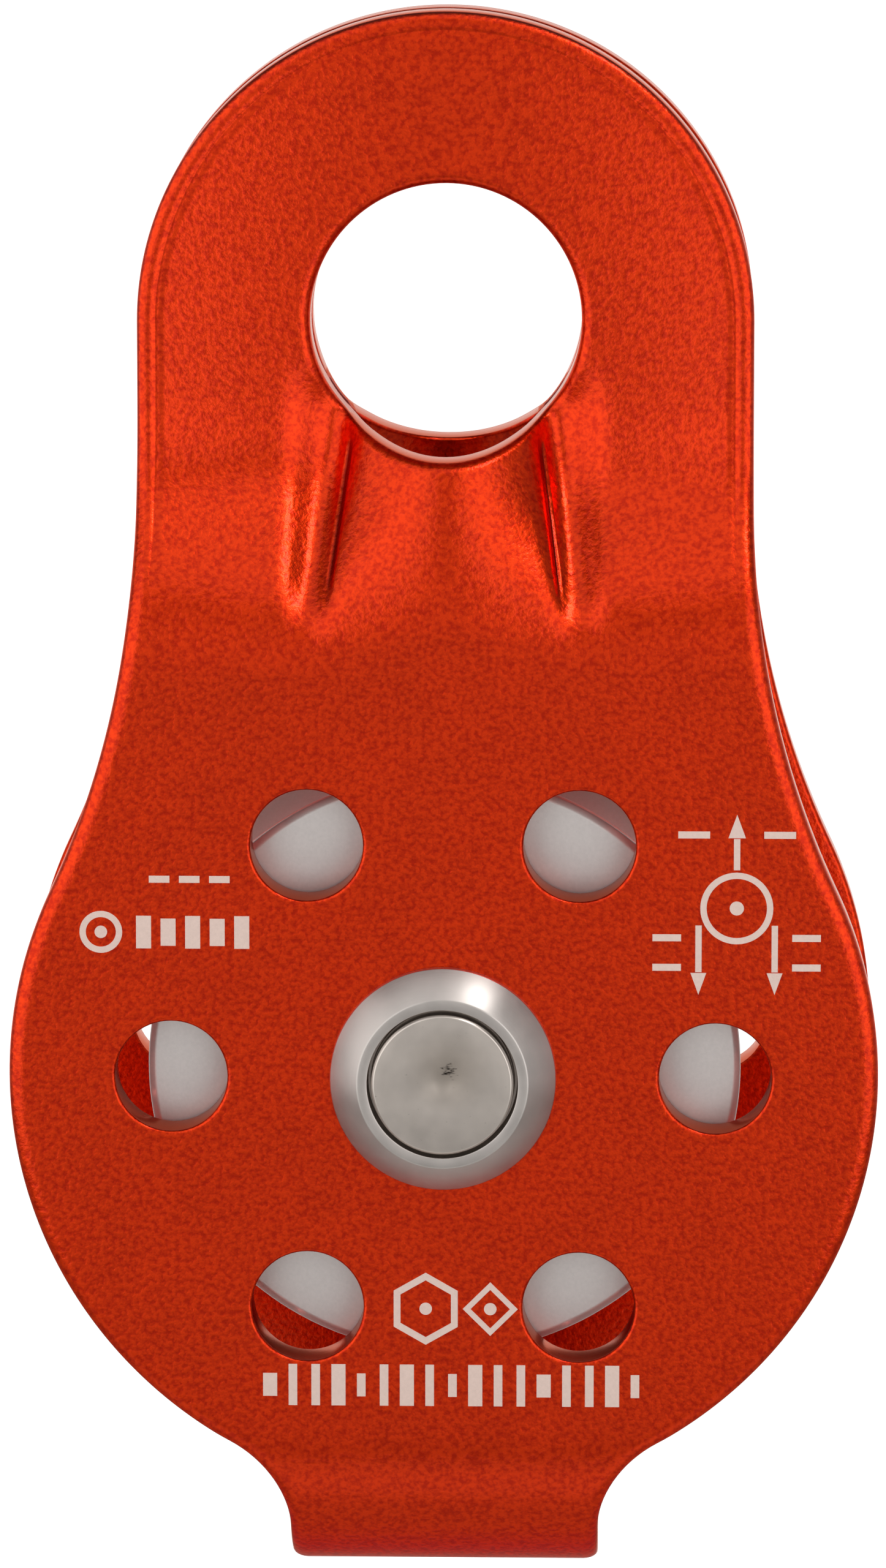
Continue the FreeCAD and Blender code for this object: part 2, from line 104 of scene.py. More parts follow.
def colour(name, hex_colour, description):
    """A colour setting."""
    return bpy.props.FloatVectorProperty(name=name, description=description, size=4, min=0.0,
                                         max=1.0, default=linear(hex_colour), subtype="COLOR")


def share(name, value, description, most=1.0):
    """A plain number setting."""
    return bpy.props.FloatProperty(name=name, description=description, default=value,
                                   min=0.0, max=most)


class PlateSettings(bpy.types.PropertyGroup):
    """Sizes and finish of the folded side plate."""
    thickness: length("Thickness", 3.0, "Thickness of the plate")
    eye_gap: length("Eye gap", 0.3, "Between the two legs where the pads meet")
    neck_radius: length("Neck radius", 57.0, "Hollow curve from the eye to the body")
    strap_half_width: length("Strap half width", 9.85, "Half the width of the strap")
    strap_fillet: length("Strap fillet", 7.5, "Hollow curve from the body to the strap")
    bend_drop: length("Bend drop", 23.4, "The bend's centre line below the axle")
    hole_radius: length("Hole radius", 3.55, "Lightening holes")
    hole_circle: length("Hole circle", 17.2, "Radius of the circle of lightening holes")
    press_start: length("Press start", 25.0, "Above the axle, where the cheek starts to lean in")
    press_end: length("Press end", 43.0, "Above the axle, where the pad is fully in")
    pad_curve: length("Pad curve", 105.0, "Radius of the hollow pads about an upright line")
    rib_half_top: length("Rib top", 7.0, "Half width of the rib at the eye")
    rib_half_foot: length("Rib foot width", 8.5, "Half width of the rib at its foot")
    rib_foot: length("Rib foot", 28.5, "Height of the rib's foot above the axle")
    rib_rise: length("Rib rise", 3.0, "How far the rib's crest leans in at the eye")
    rib_end: length("Rib end", 46.0, "Above the axle, where the rib has run out")
    crease_depth: length("Crease depth", 1.0, "Depth of the creases beside the rib")
    crease_width: length("Crease width", 2.0, "The crease's slope on the rib's side")
    crease_reach: length("Crease reach", 10.6, "Half width at which its outer slope ends")
    crease_start: length("Crease start", 27.0, "Height of the crease's start above the axle")
    crease_full: length("Crease full", 33.0, "Height at which the crease is full")
    crease_fade: length("Crease fade", 41.0, "Height at which the crease starts to fade")
    scored_in: length("Scored line", 0.9, "From the crease in to the line the press tool left")
    scored_width: length("Scored line width", 0.22, "Half width of that line")
    scored_depth: length("Scored line depth", 0.22, "Depth of that line")
    edge_width: length("Edge width", 0.95, "Width of the rolled edge on the face")
    edge_depth: length("Edge depth", 0.55, "Depth of the rolled edge")
    coined_inset: length("Coined line", 1.12, "From the edge in to the line coined round the eye")
    coined_depth: length("Coined line depth", 0.07, "Depth of that line")
    eye_lip: length("Eye lip", 0.6, "Rounding of the eye's bore")
    hole_lip: length("Hole lip", 0.22, "Rounding of the lightening holes")
    inner_lip: length("Inner lip", 0.3, "Rounding of the edges on the sheave's side")
    dye: colour("Dye", "#EC3C0E", "Colour of the anodised face")
    # painted shade: the grain's hollows are darkened to stand for light bounced inside them
    painted_hollow_shade: colour("Painted hollow shade", "#C6270A", "Colour in the grain's hollows")
    wall_dye: colour("Wall dye", "#B4625C", "Colour of the burnished edges")
    # painted shade: the press tool's scored lines are darkened where shade falls in the groove
    painted_line_shade: colour("Scored line painted shade", "#7A1204", "Colour in the press tool's lines")
    grain: length("Grain", 0.34, "Size of the tumbled grain")
    grain_height: length("Grain height", 0.032, "Height of the tumbled grain")
    roughness: share("Roughness", 0.33, "Roughness of the face")


class MetalSettings(bpy.types.PropertyGroup):
    """Sizes and finish of the turned pieces."""
    pin_bevel: length("Pin bevel", 0.15, "Bevel of the pin's ends")
    dimple_radius: length("Dimple radius", 0.5, "Lathe centre in the pin's ends")
    dimple_depth: length("Dimple depth", 0.1, "Depth of the lathe centre")
    collar_rim: length("Collar rim", 0.5, "Height of the collar's upright rim")
    collar_top: length("Collar top", 5.4, "Radius of the collar's flat top")
    collar_relief: length("Collar relief", 0.25, "Gap round the pin in the collar's mouth")
    collar_relief_depth: length("Relief depth", 1.5, "Depth of that gap")
    collar_edge: length("Collar edge", 0.07, "Rounding of the collar's edges")
    groove_radius: length("Groove radius", 6.2, "Radius of the rope groove's section")
    groove_centre: length("Groove centre", 18.2, "From the axle to the groove's centre")
    rim_bevel: length("Rim bevel", 0.45, "Bevel of the sheave's rim")
    rim_bevel_depth: length("Rim bevel depth", 0.25, "Depth of that bevel")
    shoulder: length("Shoulder", 7.2, "Bore between the bearing seats")
    sheave_edge: length("Sheave edge", 0.1, "Rounding of the sheave's edges")
    pip_across: length("Pip across", 0.45, "From the pin's middle across to the torn pip")
    pip_up: length("Pip up", 0.95, "From the pin's middle up to the torn pip")
    pip_radius: length("Pip radius", 0.8, "Radius of the torn pip")
    steel: colour("Steel", "#CFC7C1", "Turned stainless steel")
    pin_steel: colour("Pin steel", "#DDD2C8", "End of the pin")
    aluminium: colour("Aluminium", "#E4DEDA", "Bare tumbled aluminium")
    etched: colour("Etched", "#FCE2D6", "Laser-etched marks")


class StudioSettings(bpy.types.PropertyGroup):
    """Camera, floor and lights."""
    distance: length("Distance", 486.0, "From the camera to the front cheek")
    azimuth: share("Azimuth", 1.4, "Degrees round from the front, towards +X", 360.0)
    elevation: share("Elevation", 10.6, "Degrees up from level", 90.0)
    shift: share("Shift", 0.2, "How far the view is shifted down, as a share of its height")
    frame_height: length("Frame height", 98.6, "Height of the view at the front cheek")
    aim_above_axle: length("Aim", 18.9, "Height of the view's middle above the axle")
    floor_drop: length("Floor drop", 900.0, "From the pulley's lowest point to the floor")
    floor: colour("Floor", "#F4F3F1", "Floor and sweep")
    room: colour("Room", "#B4B4B4", "Light of the room at eye level")
    left_light: share("Left softbox", 0.9, "Brightness of the left softbox", 100.0)
    right_light: share("Right softbox", 1.05, "Brightness of the right softbox", 100.0)
    lamp: share("Right lamp", 10.0, "Brightness of the small lamp on the right", 100.0)
    top_light: share("Top softbox", 0.8, "Brightness of the top softbox", 100.0)
    low_light: share("Low softbox", 0.35, "Brightness of the low softbox", 100.0)


# ---------------------------------------------------------------- shared tools

def ease(value, start, end):
    """0 before start, 1 after end, and so smooth between that reflections don't break."""
    part = min(max((value - start) / (end - start), 0.0), 1.0)
    return part ** 3 * (10 - 15 * part + 6 * part ** 2)


def smooth_object(name, bm, material):
    """An object with the bmesh's shape, smooth and of one material."""
    mesh = bpy.data.meshes.new(name)
    bm.to_mesh(mesh)
    bm.free()
    mesh.shade_smooth()
    mesh.materials.append(material)
    made = bpy.data.objects.new(name, mesh)
    bpy.context.scene.collection.objects.link(made)
    return made


def finished(name, bm, material, body, stands_for=()):
    """The piece's object, riding on a body of the frame."""
    piece = smooth_object(name, bm, material)
    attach(piece, body)
    if stands_for:
        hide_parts(*stands_for)
    return piece


def verts_in(geometry):
    """The vertices among an operator's new geometry."""
    return [g for g in geometry if isinstance(g, bmesh.types.BMVert)]


def edges_in(geometry):
    """The edges among an operator's new geometry."""
    return [g for g in geometry if isinstance(g, bmesh.types.BMEdge)]


def closed(bm, name):
    """Weld what touches, turn the faces outwards and make sure that no edge is left open."""
    bmesh.ops.remove_doubles(bm, verts=bm.verts[:], dist=0.0005 * MM)
    bmesh.ops.dissolve_degenerate(bm, edges=bm.edges[:], dist=0.0001 * MM)
    bmesh.ops.recalc_face_normals(bm, faces=bm.faces[:])
    open_edges = [e for e in bm.edges if len(e.link_faces) != 2]
    if open_edges:
        raise RuntimeError(f"{name}: {len(open_edges)} edges don't join two faces")


def turned(name, corners, edge, steps=144):
    """A closed section spun about the axle; corners are (radius, along) pairs.

    Its sharp corners are rounded by edge.
    """
    bm = bmesh.new()
    verts = [bm.verts.new((radius, along, 0)) for radius, along in corners]
    sides = [(verts[i - 1], verts[i]) for i in range(len(verts))]
    edges = [bm.edges.new(side) for side in sides if any(v.co.x > 0 for v in side)]
    bmesh.ops.spin(bm, geom=verts + edges, cent=(0, 0, 0), axis=(0, 1, 0), angle=FULL_TURN,
                   steps=steps, use_merge=True)
    closed(bm, name)
    sharp, same = math.radians(15), 1e-7
    corner_rings = []
    for e in bm.edges:
        start, end = (v.co for v in e.verts)
        ringwise = abs(start.y - end.y) < same and abs(start.xz.length - end.xz.length) < same
        if ringwise and e.calc_face_angle(0) > sharp:
            corner_rings.append(e)
    bmesh.ops.bevel(bm, geom=corner_rings, offset=edge, offset_type="OFFSET", segments=3,
                    profile=0.5, affect="EDGES", material=-1, clamp_overlap=True)
    bmesh.ops.translate(bm, verts=bm.verts[:], vec=AXLE)
    return bm


# ---------------------------------------------------------------- materials

def add_node(tree, kind, inputs, **settings):
    """Add a shader node; an input is a value or another node's output."""
    node = tree.nodes.new("ShaderNode" + kind)
    for name, value in settings.items():
        setattr(node, name, value)
    for key, value in inputs.items():
        if isinstance(value, bpy.types.NodeSocket):
            tree.links.new(value, node.inputs[key])
        else:
            node.inputs[key].default_value = value
    return node


def new_material(name):
    """An empty node material and its tree."""
    material = bpy.data.materials.new(name)
    material.use_nodes = True
    material.node_tree.nodes.clear()
    return material, material.node_tree


def surface(tree, inputs):
    """The shader and the output of a material."""
    shader = add_node(tree, "BsdfPrincipled", inputs)
    add_node(tree, "OutputMaterial", {"Surface": shader.outputs["BSDF"]})


def anodised_aluminium(look):
    """Aluminium tumbled, then anodised orange.

    The tumbling leaves an orange-peel grain that sparkles where light rakes it, its hollows
    are darkened with painted shade that stands for light bounced inside them, and the clear
    oxide skin adds a white gloss. The press tool's scored lines are darkened with painted
    shade as well. The punched edges are burnished: smooth, paler, and bright at a glancing angle.
    """
    material, tree = new_material("anodised_tumbled_aluminium")
    place = add_node(tree, "TexCoord", {}).outputs["Object"]
    wall = add_node(tree, "Attribute", {}, attribute_name="cut_wall").outputs["Fac"]
    line = add_node(tree, "Attribute", {}, attribute_name="scored_line").outputs["Fac"]
    grain = add_node(tree, "TexNoise", {
        "Vector": place, "Scale": 1 / look.grain, "Detail": 2.5, "Roughness": 0.55}).outputs["Fac"]
    patch_size = 9 * look.grain
    patches = add_node(tree, "TexNoise", {
        "Vector": place, "Scale": 1 / patch_size, "Detail": 2.0}).outputs["Fac"]
    peak = add_node(tree, "MapRange", {
        "Value": grain, "From Min": 0.35, "From Max": 0.6}).outputs["Result"]
    # painted shade: the grain's hollows are mixed towards the painted hollow shade colour
    shade = add_node(tree, "Mix", {0: peak, 6: look.painted_hollow_shade, 7: look.dye},
                     data_type="RGBA").outputs[2]
    # painted shade darkens the scored lines; the burnished walls get their own paler colour
    for amount, tint in ((line, look.painted_line_shade), (wall, look.wall_dye)):
        shade = add_node(tree, "Mix", {0: amount, 6: shade, 7: tint},
                         data_type="RGBA").outputs[2]
    uneven, burnished = 0.05, 0.2
    dull = add_node(tree, "MapRange", {
        "Value": patches, "To Min": look.roughness - uneven,
        "To Max": look.roughness + uneven}).outputs["Result"]
    rough = add_node(tree, "Mix", {0: wall, 2: dull, 3: burnished}, data_type="FLOAT").outputs[0]
    strength = add_node(tree, "MapRange", {
        "Value": wall, "To Min": 1.0, "To Max": 0.12}).outputs["Result"]
    bump = add_node(tree, "Bump", {
        "Height": grain, "Distance": look.grain_height, "Strength": strength}).outputs["Normal"]
    surface(tree, {"Base Color": shade, "Metallic": 1.0, "Roughness": rough, "Normal": bump,
                   "Specular Tint": (0.75, 0.34, 0.24, 1.0), "Coat Weight": 0.15,
                   "Coat Roughness": 0.15, "Coat Normal": bump})
    return material


def distance_from(tree, place, x, z):
    """Distance from the line through x and z along Y, in metres, as a node output."""
    centred = add_node(tree, "Mapping", {"Vector": place, "Location": (-x, 0, -z)})
    flat = add_node(tree, "VectorMath", {0: centred.outputs["Vector"], 1: (1, 0, 1)},
                    operation="MULTIPLY").outputs["Vector"]
    return add_node(tree, "VectorMath", {0: flat}, operation="LENGTH").outputs["Value"]


def torn_pip(tree, place, shade, s):
    """Dark scratches and a tan stain where the cut-off tool tore the last pip away."""
    stain_radius, streak_size = 3.6 * s.pip_radius, 0.35 * MM
    away = distance_from(tree, place, s.pip_across, AXLE.z + s.pip_up)
    stain = add_node(tree, "MapRange", {
        "Value": away, "From Min": 0.0, "From Max": stain_radius, "To Min": 0.4,
        "To Max": 0.0}).outputs["Result"]
    stained = add_node(tree, "Mix", {0: stain, 6: shade, 7: linear("#8E7A62")},
                       data_type="RGBA").outputs[2]
    streaks = add_node(tree, "Mapping", {
        "Vector": place, "Rotation": (0, 0.7, 0), "Scale": (1.0, 1.0, 2.6)}).outputs["Vector"]
    torn = add_node(tree, "TexNoise", {
        "Vector": streaks, "Scale": 1 / streak_size, "Detail": 4.0}).outputs["Fac"]
    near = add_node(tree, "MapRange", {
        "Value": away, "From Min": 0.2 * s.pip_radius, "From Max": s.pip_radius, "To Min": 0.58,
        "To Max": 0.25}).outputs["Result"]
    dark = add_node(tree, "Math", {0: near, 1: torn}, operation="SUBTRACT").outputs["Value"]
    amount = add_node(tree, "MapRange", {
        "Value": dark, "From Min": -0.04, "From Max": 0.14}).outputs["Result"]
    return add_node(tree, "Mix", {0: amount, 6: stained, 7: linear("#3A332F")},
                    data_type="RGBA").outputs[2]


def turned_steel(name, tint, roughness, feed, height, pip=None):
    """Stainless steel off the lathe: fine rings at the tool's feed, and a faint cloudiness."""
    material, tree = new_material(name)
    place = add_node(tree, "TexCoord", {}).outputs["Object"]
    cloud_size, uneven = 1.6 * MM, 0.06
    rings = add_node(tree, "TexNoise", {
        "W": distance_from(tree, place, 0, AXLE.z), "Scale": 1 / feed, "Detail": 3.0},
        noise_dimensions="1D").outputs["Fac"]
    cloud = add_node(tree, "TexNoise", {
        "Vector": place, "Scale": 1 / cloud_size, "Detail": 3.0}).outputs["Fac"]
    rough = add_node(tree, "MapRange", {
        "Value": cloud, "To Min": roughness - uneven,
        "To Max": roughness + uneven}).outputs["Result"]
    bump = add_node(tree, "Bump", {"Height": rings, "Distance": height})
    shade = add_node(tree, "Mix", {0: cloud, 6: darker(tint, 0.8), 7: tint},
                     data_type="RGBA").outputs[2]
    if pip:
        shade = torn_pip(tree, place, shade, pip)
    surface(tree, {"Base Color": shade, "Metallic": 1.0, "Roughness": rough,
                   "Normal": bump.outputs["Normal"]})
    return material


def ground_steel(name, tint, roughness):
    """Hardened bearing steel, ground: bright with faint rings."""
    return turned_steel(name, tint, roughness, 0.08 * MM, 0.0006 * MM)


def mottled(name, tint, hollow_share, grain_size, grain_detail, height, finish):
    """A surface with one fine grain, whose hollows keep hollow_share of the tint."""
    material, tree = new_material(name)
    place = add_node(tree, "TexCoord", {}).outputs["Object"]
    grain = add_node(tree, "TexNoise", {
        "Vector": place, "Scale": 1 / grain_size, "Detail": grain_detail}).outputs["Fac"]
    shade = add_node(tree, "Mix", {0: grain, 6: darker(tint, hollow_share), 7: tint},
                     data_type="RGBA").outputs[2]
    bump = add_node(tree, "Bump", {"Height": grain, "Distance": height})
    surface(tree, {"Base Color": shade, "Normal": bump.outputs["Normal"], **finish})
    return material


def tumbled_aluminium(name, tint):
    """Bare aluminium, matte from tumbling: a dull bright grey with a very fine grain."""
    return mottled(name, tint, 0.86, 0.2 * MM, 3.0, 0.004 * MM,
                   {"Metallic": 1.0, "Roughness": 0.5})


def moulded(name, tint, roughness, speck):
    """Moulded rubber or nylon: an even colour with a fine texture from the mould."""
    return mottled(name, tint, 0.8, speck, 2.0, 0.01 * MM, {"Roughness": roughness})


# ---------------------------------------------------------------- folded side plate

class PlateForm:
    """Where a point of the flat plate lies once the plate is pressed and folded.

    A point of the flat plate is (across, run, depth). The run is the height while the leg
    stands upright, and follows the outside of the bend below that. The depth is counted
    from the plate's outer face.
    """

    def __init__(self, sizes):
        self.sizes = sizes
        self.half_out = PLATE_HIGH.y
        self.bend_z = AXLE.z - sizes.bend_drop
        self.eye_radius = PLATE_HIGH.z
        self.body_radius = PLATE_HIGH.x
        self.seam = self.bend_z - self.half_out * math.pi / 2

    def run_at(self, z):
        """The run of an outside point at height z."""
        drop = self.bend_z - z
        if drop <= 0:
            return z
        return self.bend_z - self.half_out * math.asin(min(drop / self.half_out, 1))

    def rib_half(self, height):
        """Half width of the rib, from its middle to the bottom of the crease."""
        s = self.sizes
        rib_top = -AXLE.z - EYE_BORE
        up = (height - s.rib_foot) / (rib_top - s.rib_foot)
        half = s.rib_half_foot + (s.rib_half_top - s.rib_half_foot) * up
        return min(half, s.rib_half_foot), max(up, 0.0)

    def pressed_in(self, x, height):
        """How far the outer face is pressed in, at x and a height above the axle."""
        s = self.sizes
        across = abs(x)
        full = self.half_out - s.thickness - s.eye_gap / 2
        floor = (full - across ** 2 / (2 * s.pad_curve)) * ease(height, s.press_start, s.press_end)
        half, up = self.rib_half(height)
        ending = 1 - ease(height, s.crease_fade, s.rib_end)
        fade = ease(height, s.crease_start, s.crease_full) * ending
        outer_slope = 1 - ease(across, half, s.crease_reach)
        inner_slope = ease(across, half - s.crease_width, half)
        floor += s.crease_depth * fade * outer_slope * inner_slope
        bow, softness = 1.4, 0.12
        crest = s.rib_rise * up ** bow
        arch = 1 - (across / half) ** 2
        lift = (arch + math.hypot(arch, softness)) / 2 * ending
        return floor - lift * max(floor - crest, 0.0)

    def scored(self, x, height):
        """Share of the line that the press tool left down each flank of the rib."""
        s = self.sizes
        half, up = self.rib_half(height)
        off = abs(abs(x) - (half - s.scored_in)) / s.scored_width
        rib_top = -AXLE.z - EYE_BORE
        running_out = 2 * MM
        along = ease(up, 0.1, 0.4) * (1 - ease(height, rib_top, rib_top + running_out))
        return max(1 - off ** 2, 0.0) * along

    def placed(self, x, run, depth):
        """The folded plate's point for a point of the flat plate."""
        s = self.sizes
        if run < self.bend_z:
            angle = (self.bend_z - run) / self.half_out
            radius = self.half_out - depth
            return Vector((x, -radius * math.cos(angle), self.bend_z - radius * math.sin(angle)))
        height = run - AXLE.z
        if height < s.press_start:
            return Vector((x, depth - self.half_out, run))
        near, most_slant = 0.4 * MM, 1.25
        rise_x = self.pressed_in(x + near, height) - self.pressed_in(x - near, height)
        rise_z = self.pressed_in(x, height + near) - self.pressed_in(x, height - near)
        slant = min(math.hypot(1, rise_x / (2 * near), rise_z / (2 * near)), most_slant)
        y = self.pressed_in(x, height) + depth * slant - self.half_out
        if depth < s.thickness / 2:
            y += s.scored_depth * self.scored(x, height)
        return Vector((x, min(y, -s.eye_gap / 2), run))

    # ------------------------------------------------ outline and holes

    def outline(self):
        """The outline's points on the flat plate, from the seam up the left side, over the
        eye and down the right side to the seam."""
        s = self.sizes
        step = 0.5 * MM
        neck_x = self.eye_radius + s.neck_radius
        neck_z = AXLE.z + math.sqrt((self.body_radius + s.neck_radius) ** 2 - neck_x ** 2)
        fillet_x = s.strap_half_width + s.strap_fillet
        fillet_drop = math.sqrt((self.body_radius + s.strap_fillet) ** 2 - fillet_x ** 2)
        leaving = math.atan2(neck_z - AXLE.z, neck_x)
        meeting = math.atan2(fillet_drop, fillet_x)

        def arc(x, z, radius, start, end):
            count = max(round(abs(end - start) * radius / step), 1)
            turns = [start + (end - start) * i / count for i in range(count)]
            return [(x + radius * math.cos(t), z + radius * math.sin(t)) for t in turns]

        points = arc(0, 0, self.eye_radius, math.pi / 2, 0)
        count = round(-neck_z / step)
        points += [(self.eye_radius, neck_z * i / count) for i in range(count)]
        points += arc(neck_x, neck_z, s.neck_radius, math.pi, math.pi + leaving)
        points += arc(0, AXLE.z, self.body_radius, leaving, -meeting)
        points += arc(fillet_x, AXLE.z - fillet_drop, s.strap_fillet, math.pi - meeting, math.pi)
        right = [Vector((x, self.run_at(z))) for x, z in points]
        strap_top = self.run_at(AXLE.z - fillet_drop)
        count = round((strap_top - self.seam) / step)
        for i in range(count + 1):
            run = strap_top + (self.seam - strap_top) * i / count
            right.append(Vector((s.strap_half_width, run)))
        left = [Vector((-p.x, p.y)) for p in reversed(right[1:])]
        return left + right

    def edge_rings(self, width, depth, lip, coined):
        """Rings from the face over the rounded edge, down the wall and round the inner edge.

        Each is (inset from the outline, depth, share of burnished wall, coined line's share).
        """
        thickness = self.sizes.thickness
        rings = []
        if coined:
            inset = self.sizes.coined_inset
            start, bottom, steep_side = inset + 0.22 * MM, inset + 0.08 * MM, inset - 0.02 * MM
            rings = [(start, 0, 0, 0), (bottom, 0, 0, 1), (steep_side, 0, 0, 0.6)]
        turns = [math.radians(15 * i) for i in range(7)]
        burnished_from, burnished_full = 0.9, 1.5
        rounded = [(1 - math.sin(t), 1 - math.cos(t), ease(t, burnished_from, burnished_full))
                   for t in turns]
        rings += [(width * across, depth * down, wall, 0) for across, down, wall in rounded]
        rings += [(lip * across, thickness - lip * down, wall, 0)
                  for across, down, wall in reversed(rounded)]
        return rings

    def rims(self):
        """Every rim as {"points": [(place, outward direction)], "closed", "face", "rings"}.

        Face is the inset at which the rim's rings end and the open face starts.
        """
        s = self.sizes
        outline = self.outline()
        points = []
        for i, p in enumerate(outline):
            along = outline[min(i + 1, len(outline) - 1)] - outline[max(i - 1, 0)]
            points.append((p, Vector((-along.y, along.x)).normalized()))
        made = [{"points": points, "closed": False, "face": 1.8 * MM,
                 "rings": self.edge_rings(s.edge_width, s.edge_depth, s.inner_lip, True)}]

        def bore(x, z, radius, lip, inner, steps):
            ways = [Vector((math.cos(t), math.sin(t)))
                    for t in (FULL_TURN * i / steps for i in range(steps))]
            made.append({"points": [(Vector((x, z)) + way * radius, -way) for way in ways],
                         "closed": True, "face": lip + 0.15 * MM,
                         "rings": self.edge_rings(lip, lip, inner, False)})

        bore(0, 0, EYE_BORE, s.eye_lip, s.inner_lip, 128)
        bore(0, AXLE.z, PIN_HIGH.x, 0.1 * MM, 0.1 * MM, 64)
        for number in range(6):
            turn = FULL_TURN * number / 6
            bore(s.hole_circle * math.cos(turn), AXLE.z + s.hole_circle * math.sin(turn),
                 s.hole_radius, s.hole_lip, 0.15 * MM, 64)
        return made

    def inner_points(self):
        """Points spread over the face: close together where it is pressed, wide apart where
        it is flat."""
        s = self.sizes
        wide, middling, fine = 2.5 * MM, 1.2 * MM, 0.45 * MM
        neck_start = AXLE.z + s.press_start - fine
        neck_end = AXLE.z + s.rib_end + 4 * fine
        stretches = [(self.seam + fine, self.bend_z, fine), (self.bend_z + fine, neck_start, wide),
                     (neck_start, neck_end, fine), (neck_end, self.eye_radius, middling)]
        points = []
        for low, high, step in stretches:
            count = round((high - low) / step)
            for i in range(count):
                run = low + (high - low) * i / count
                columns = self.columns(run, wide, neck_start <= run < neck_end, run >= neck_end)
                points += [Vector((side * x, run)) for x in columns for side in (-1, 1)]
        return points

    def columns(self, run, wide, pressed, pad):
        """Distances from the middle line of the points in one row.

        A pressed row is closest over the scored line and over the bottom of the crease.
        """
        reach = self.body_radius
        if not pressed:
            step = 1.0 * MM if pad else wide
            return [step * (i + 0.5) for i in range(int(reach / step))]
        half = self.rib_half(run - AXLE.z)[0]
        line = half - self.sizes.scored_in
        flank, count = line - 0.4 * MM, 13
        columns = [flank * (i + 0.5) / count for i in range(count)]
        columns += [line + i * 0.11 * MM for i in range(-3, 4)]
        columns += [half + i * 0.3 * MM for i in range(-1, 3)]
        start, step = half + 1.0 * MM, 0.55 * MM
        return columns + [start + i * step for i in range(int((reach - start) / step))]


def face_patch(form, rims):
    """The plate's face inside its rims, as (places, triangles, rim point of each place).

    No bmesh operator fills an outline with points placed where they are needed, so the
    face is a Delaunay triangulation held to the rims. A rim point is (rim's number, point's
    number); a place inside the face has None.
    """
    places, owners, held = [], [], []
    nearest = KDTree(sum(len(rim["points"]) for rim in rims))
    for number, rim in enumerate(rims):
        first = len(places)
        for i, (base, out) in enumerate(rim["points"]):
            nearest.insert((base.x, base.y, 0), len(places))
            places.append(base - out * rim["face"])
            owners.append((number, i))
        if not rim["closed"]:
            start, end, parts = places[first], places[-1], 8
            places += [end.lerp(start, i / parts) for i in range(1, parts)]
            owners += [None] * (parts - 1)
        loop = range(first, len(places))
        held += [(i, i + 1) for i in loop[:-1]] + [(loop[-1], first)]
    nearest.balance()
    clear = 0.25 * MM
    for point in form.inner_points():
        number, i = owners[nearest.find((point.x, point.y, 0))[1]]
        base, out = rims[number]["points"][i]
        if (base - point).dot(out) > rims[number]["face"] + clear:
            places.append(point)
            owners.append(None)
    flat, _, triangles, sources, _, _ = delaunay_2d_cdt([p / MM for p in places], held, [], 1, 1e-5)
    owners = [next((owners[k] for k in source if owners[k]), None) for source in sources]

    def in_bore(triangle):
        numbers = {owners[i][0] if owners[i] else 0 for i in triangle}
        return len(numbers) == 1 and 0 not in numbers

    kept = [triangle for triangle in triangles if not in_bore(triangle)]
    return [p * MM for p in flat], kept, owners


def plate_mesh(sizes):
    """The folded plate as one closed shell.

    The front half is made flat: its face, then each rim taken ring by ring over the rounded
    edge and down the wall, then the face on the sheave's side. Pressing and folding move
    every vertex to its place, and the rear half is its mirror image.
    """
    form = PlateForm(sizes)
    rims = form.rims()
    places, triangles, owners = face_patch(form, rims)
    weld, longest_rim_edge = 0.002 * MM, 3 * MM
    bm = bmesh.new()
    rim_of = bm.verts.layers.int.new("rim")
    point_of = bm.verts.layers.int.new("rim_point")
    wall_of = bm.verts.layers.float.new("cut_wall")
    line_of = bm.verts.layers.float.new("scored_line")

    def add_face(depth, flipped):
        """One of the plate's two faces; its rim vertices remember their rim point."""
        verts = [bm.verts.new((place.x, place.y, depth)) for place in places]
        for vert, owner in zip(verts, owners):
            vert[rim_of], vert[point_of] = owner or (-1, -1)
        for triangle in triangles:
            corners = [verts[i] for i in triangle]
            bm.faces.new(reversed(corners) if flipped else corners)
        bmesh.ops.delete(bm, geom=[v for v in verts if not v.link_faces], context="VERTS")

    add_face(0, False)
    for number, rim in enumerate(rims):
        edges = [e for e in bm.edges if e.is_boundary and all(v[rim_of] == number for v in e.verts)
                 and e.calc_length() < longest_rim_edge]
        for inset, depth, wall, coined in rim["rings"] + [(rim["face"], sizes.thickness, 0, 0)]:
            made = bmesh.ops.extrude_edge_only(bm, edges=edges)["geom"]
            fresh = set(verts_in(made))
            for vert in fresh:
                base, out = rim["points"][vert[point_of]]
                place = base - out * inset
                line = sizes.coined_depth * coined
                line *= ease(base.y - AXLE.z, sizes.press_start, sizes.press_end)
                vert.co = (place.x, place.y, depth + line)
                vert[wall_of] = wall
            edges = [e for e in edges_in(made) if fresh.issuperset(e.verts)]
    add_face(sizes.thickness, True)
    bmesh.ops.remove_doubles(bm, verts=bm.verts[:], dist=weld)
    for vert in bm.verts:
        x, run, depth = vert.co
        if depth < sizes.thickness / 2 and run > AXLE.z + sizes.rib_foot:
            vert[line_of] = form.scored(x, run - AXLE.z)
        vert.co = form.placed(x, run, depth)
    bmesh.ops.mirror(bm, geom=bm.verts[:] + bm.edges[:] + bm.faces[:], axis="Y",
                     merge_dist=weld)
    closed(bm, "side_plate")
    for layer in ("rim", "rim_point"):
        bm.verts.layers.int.remove(bm.verts.layers.int[layer])
    return bm


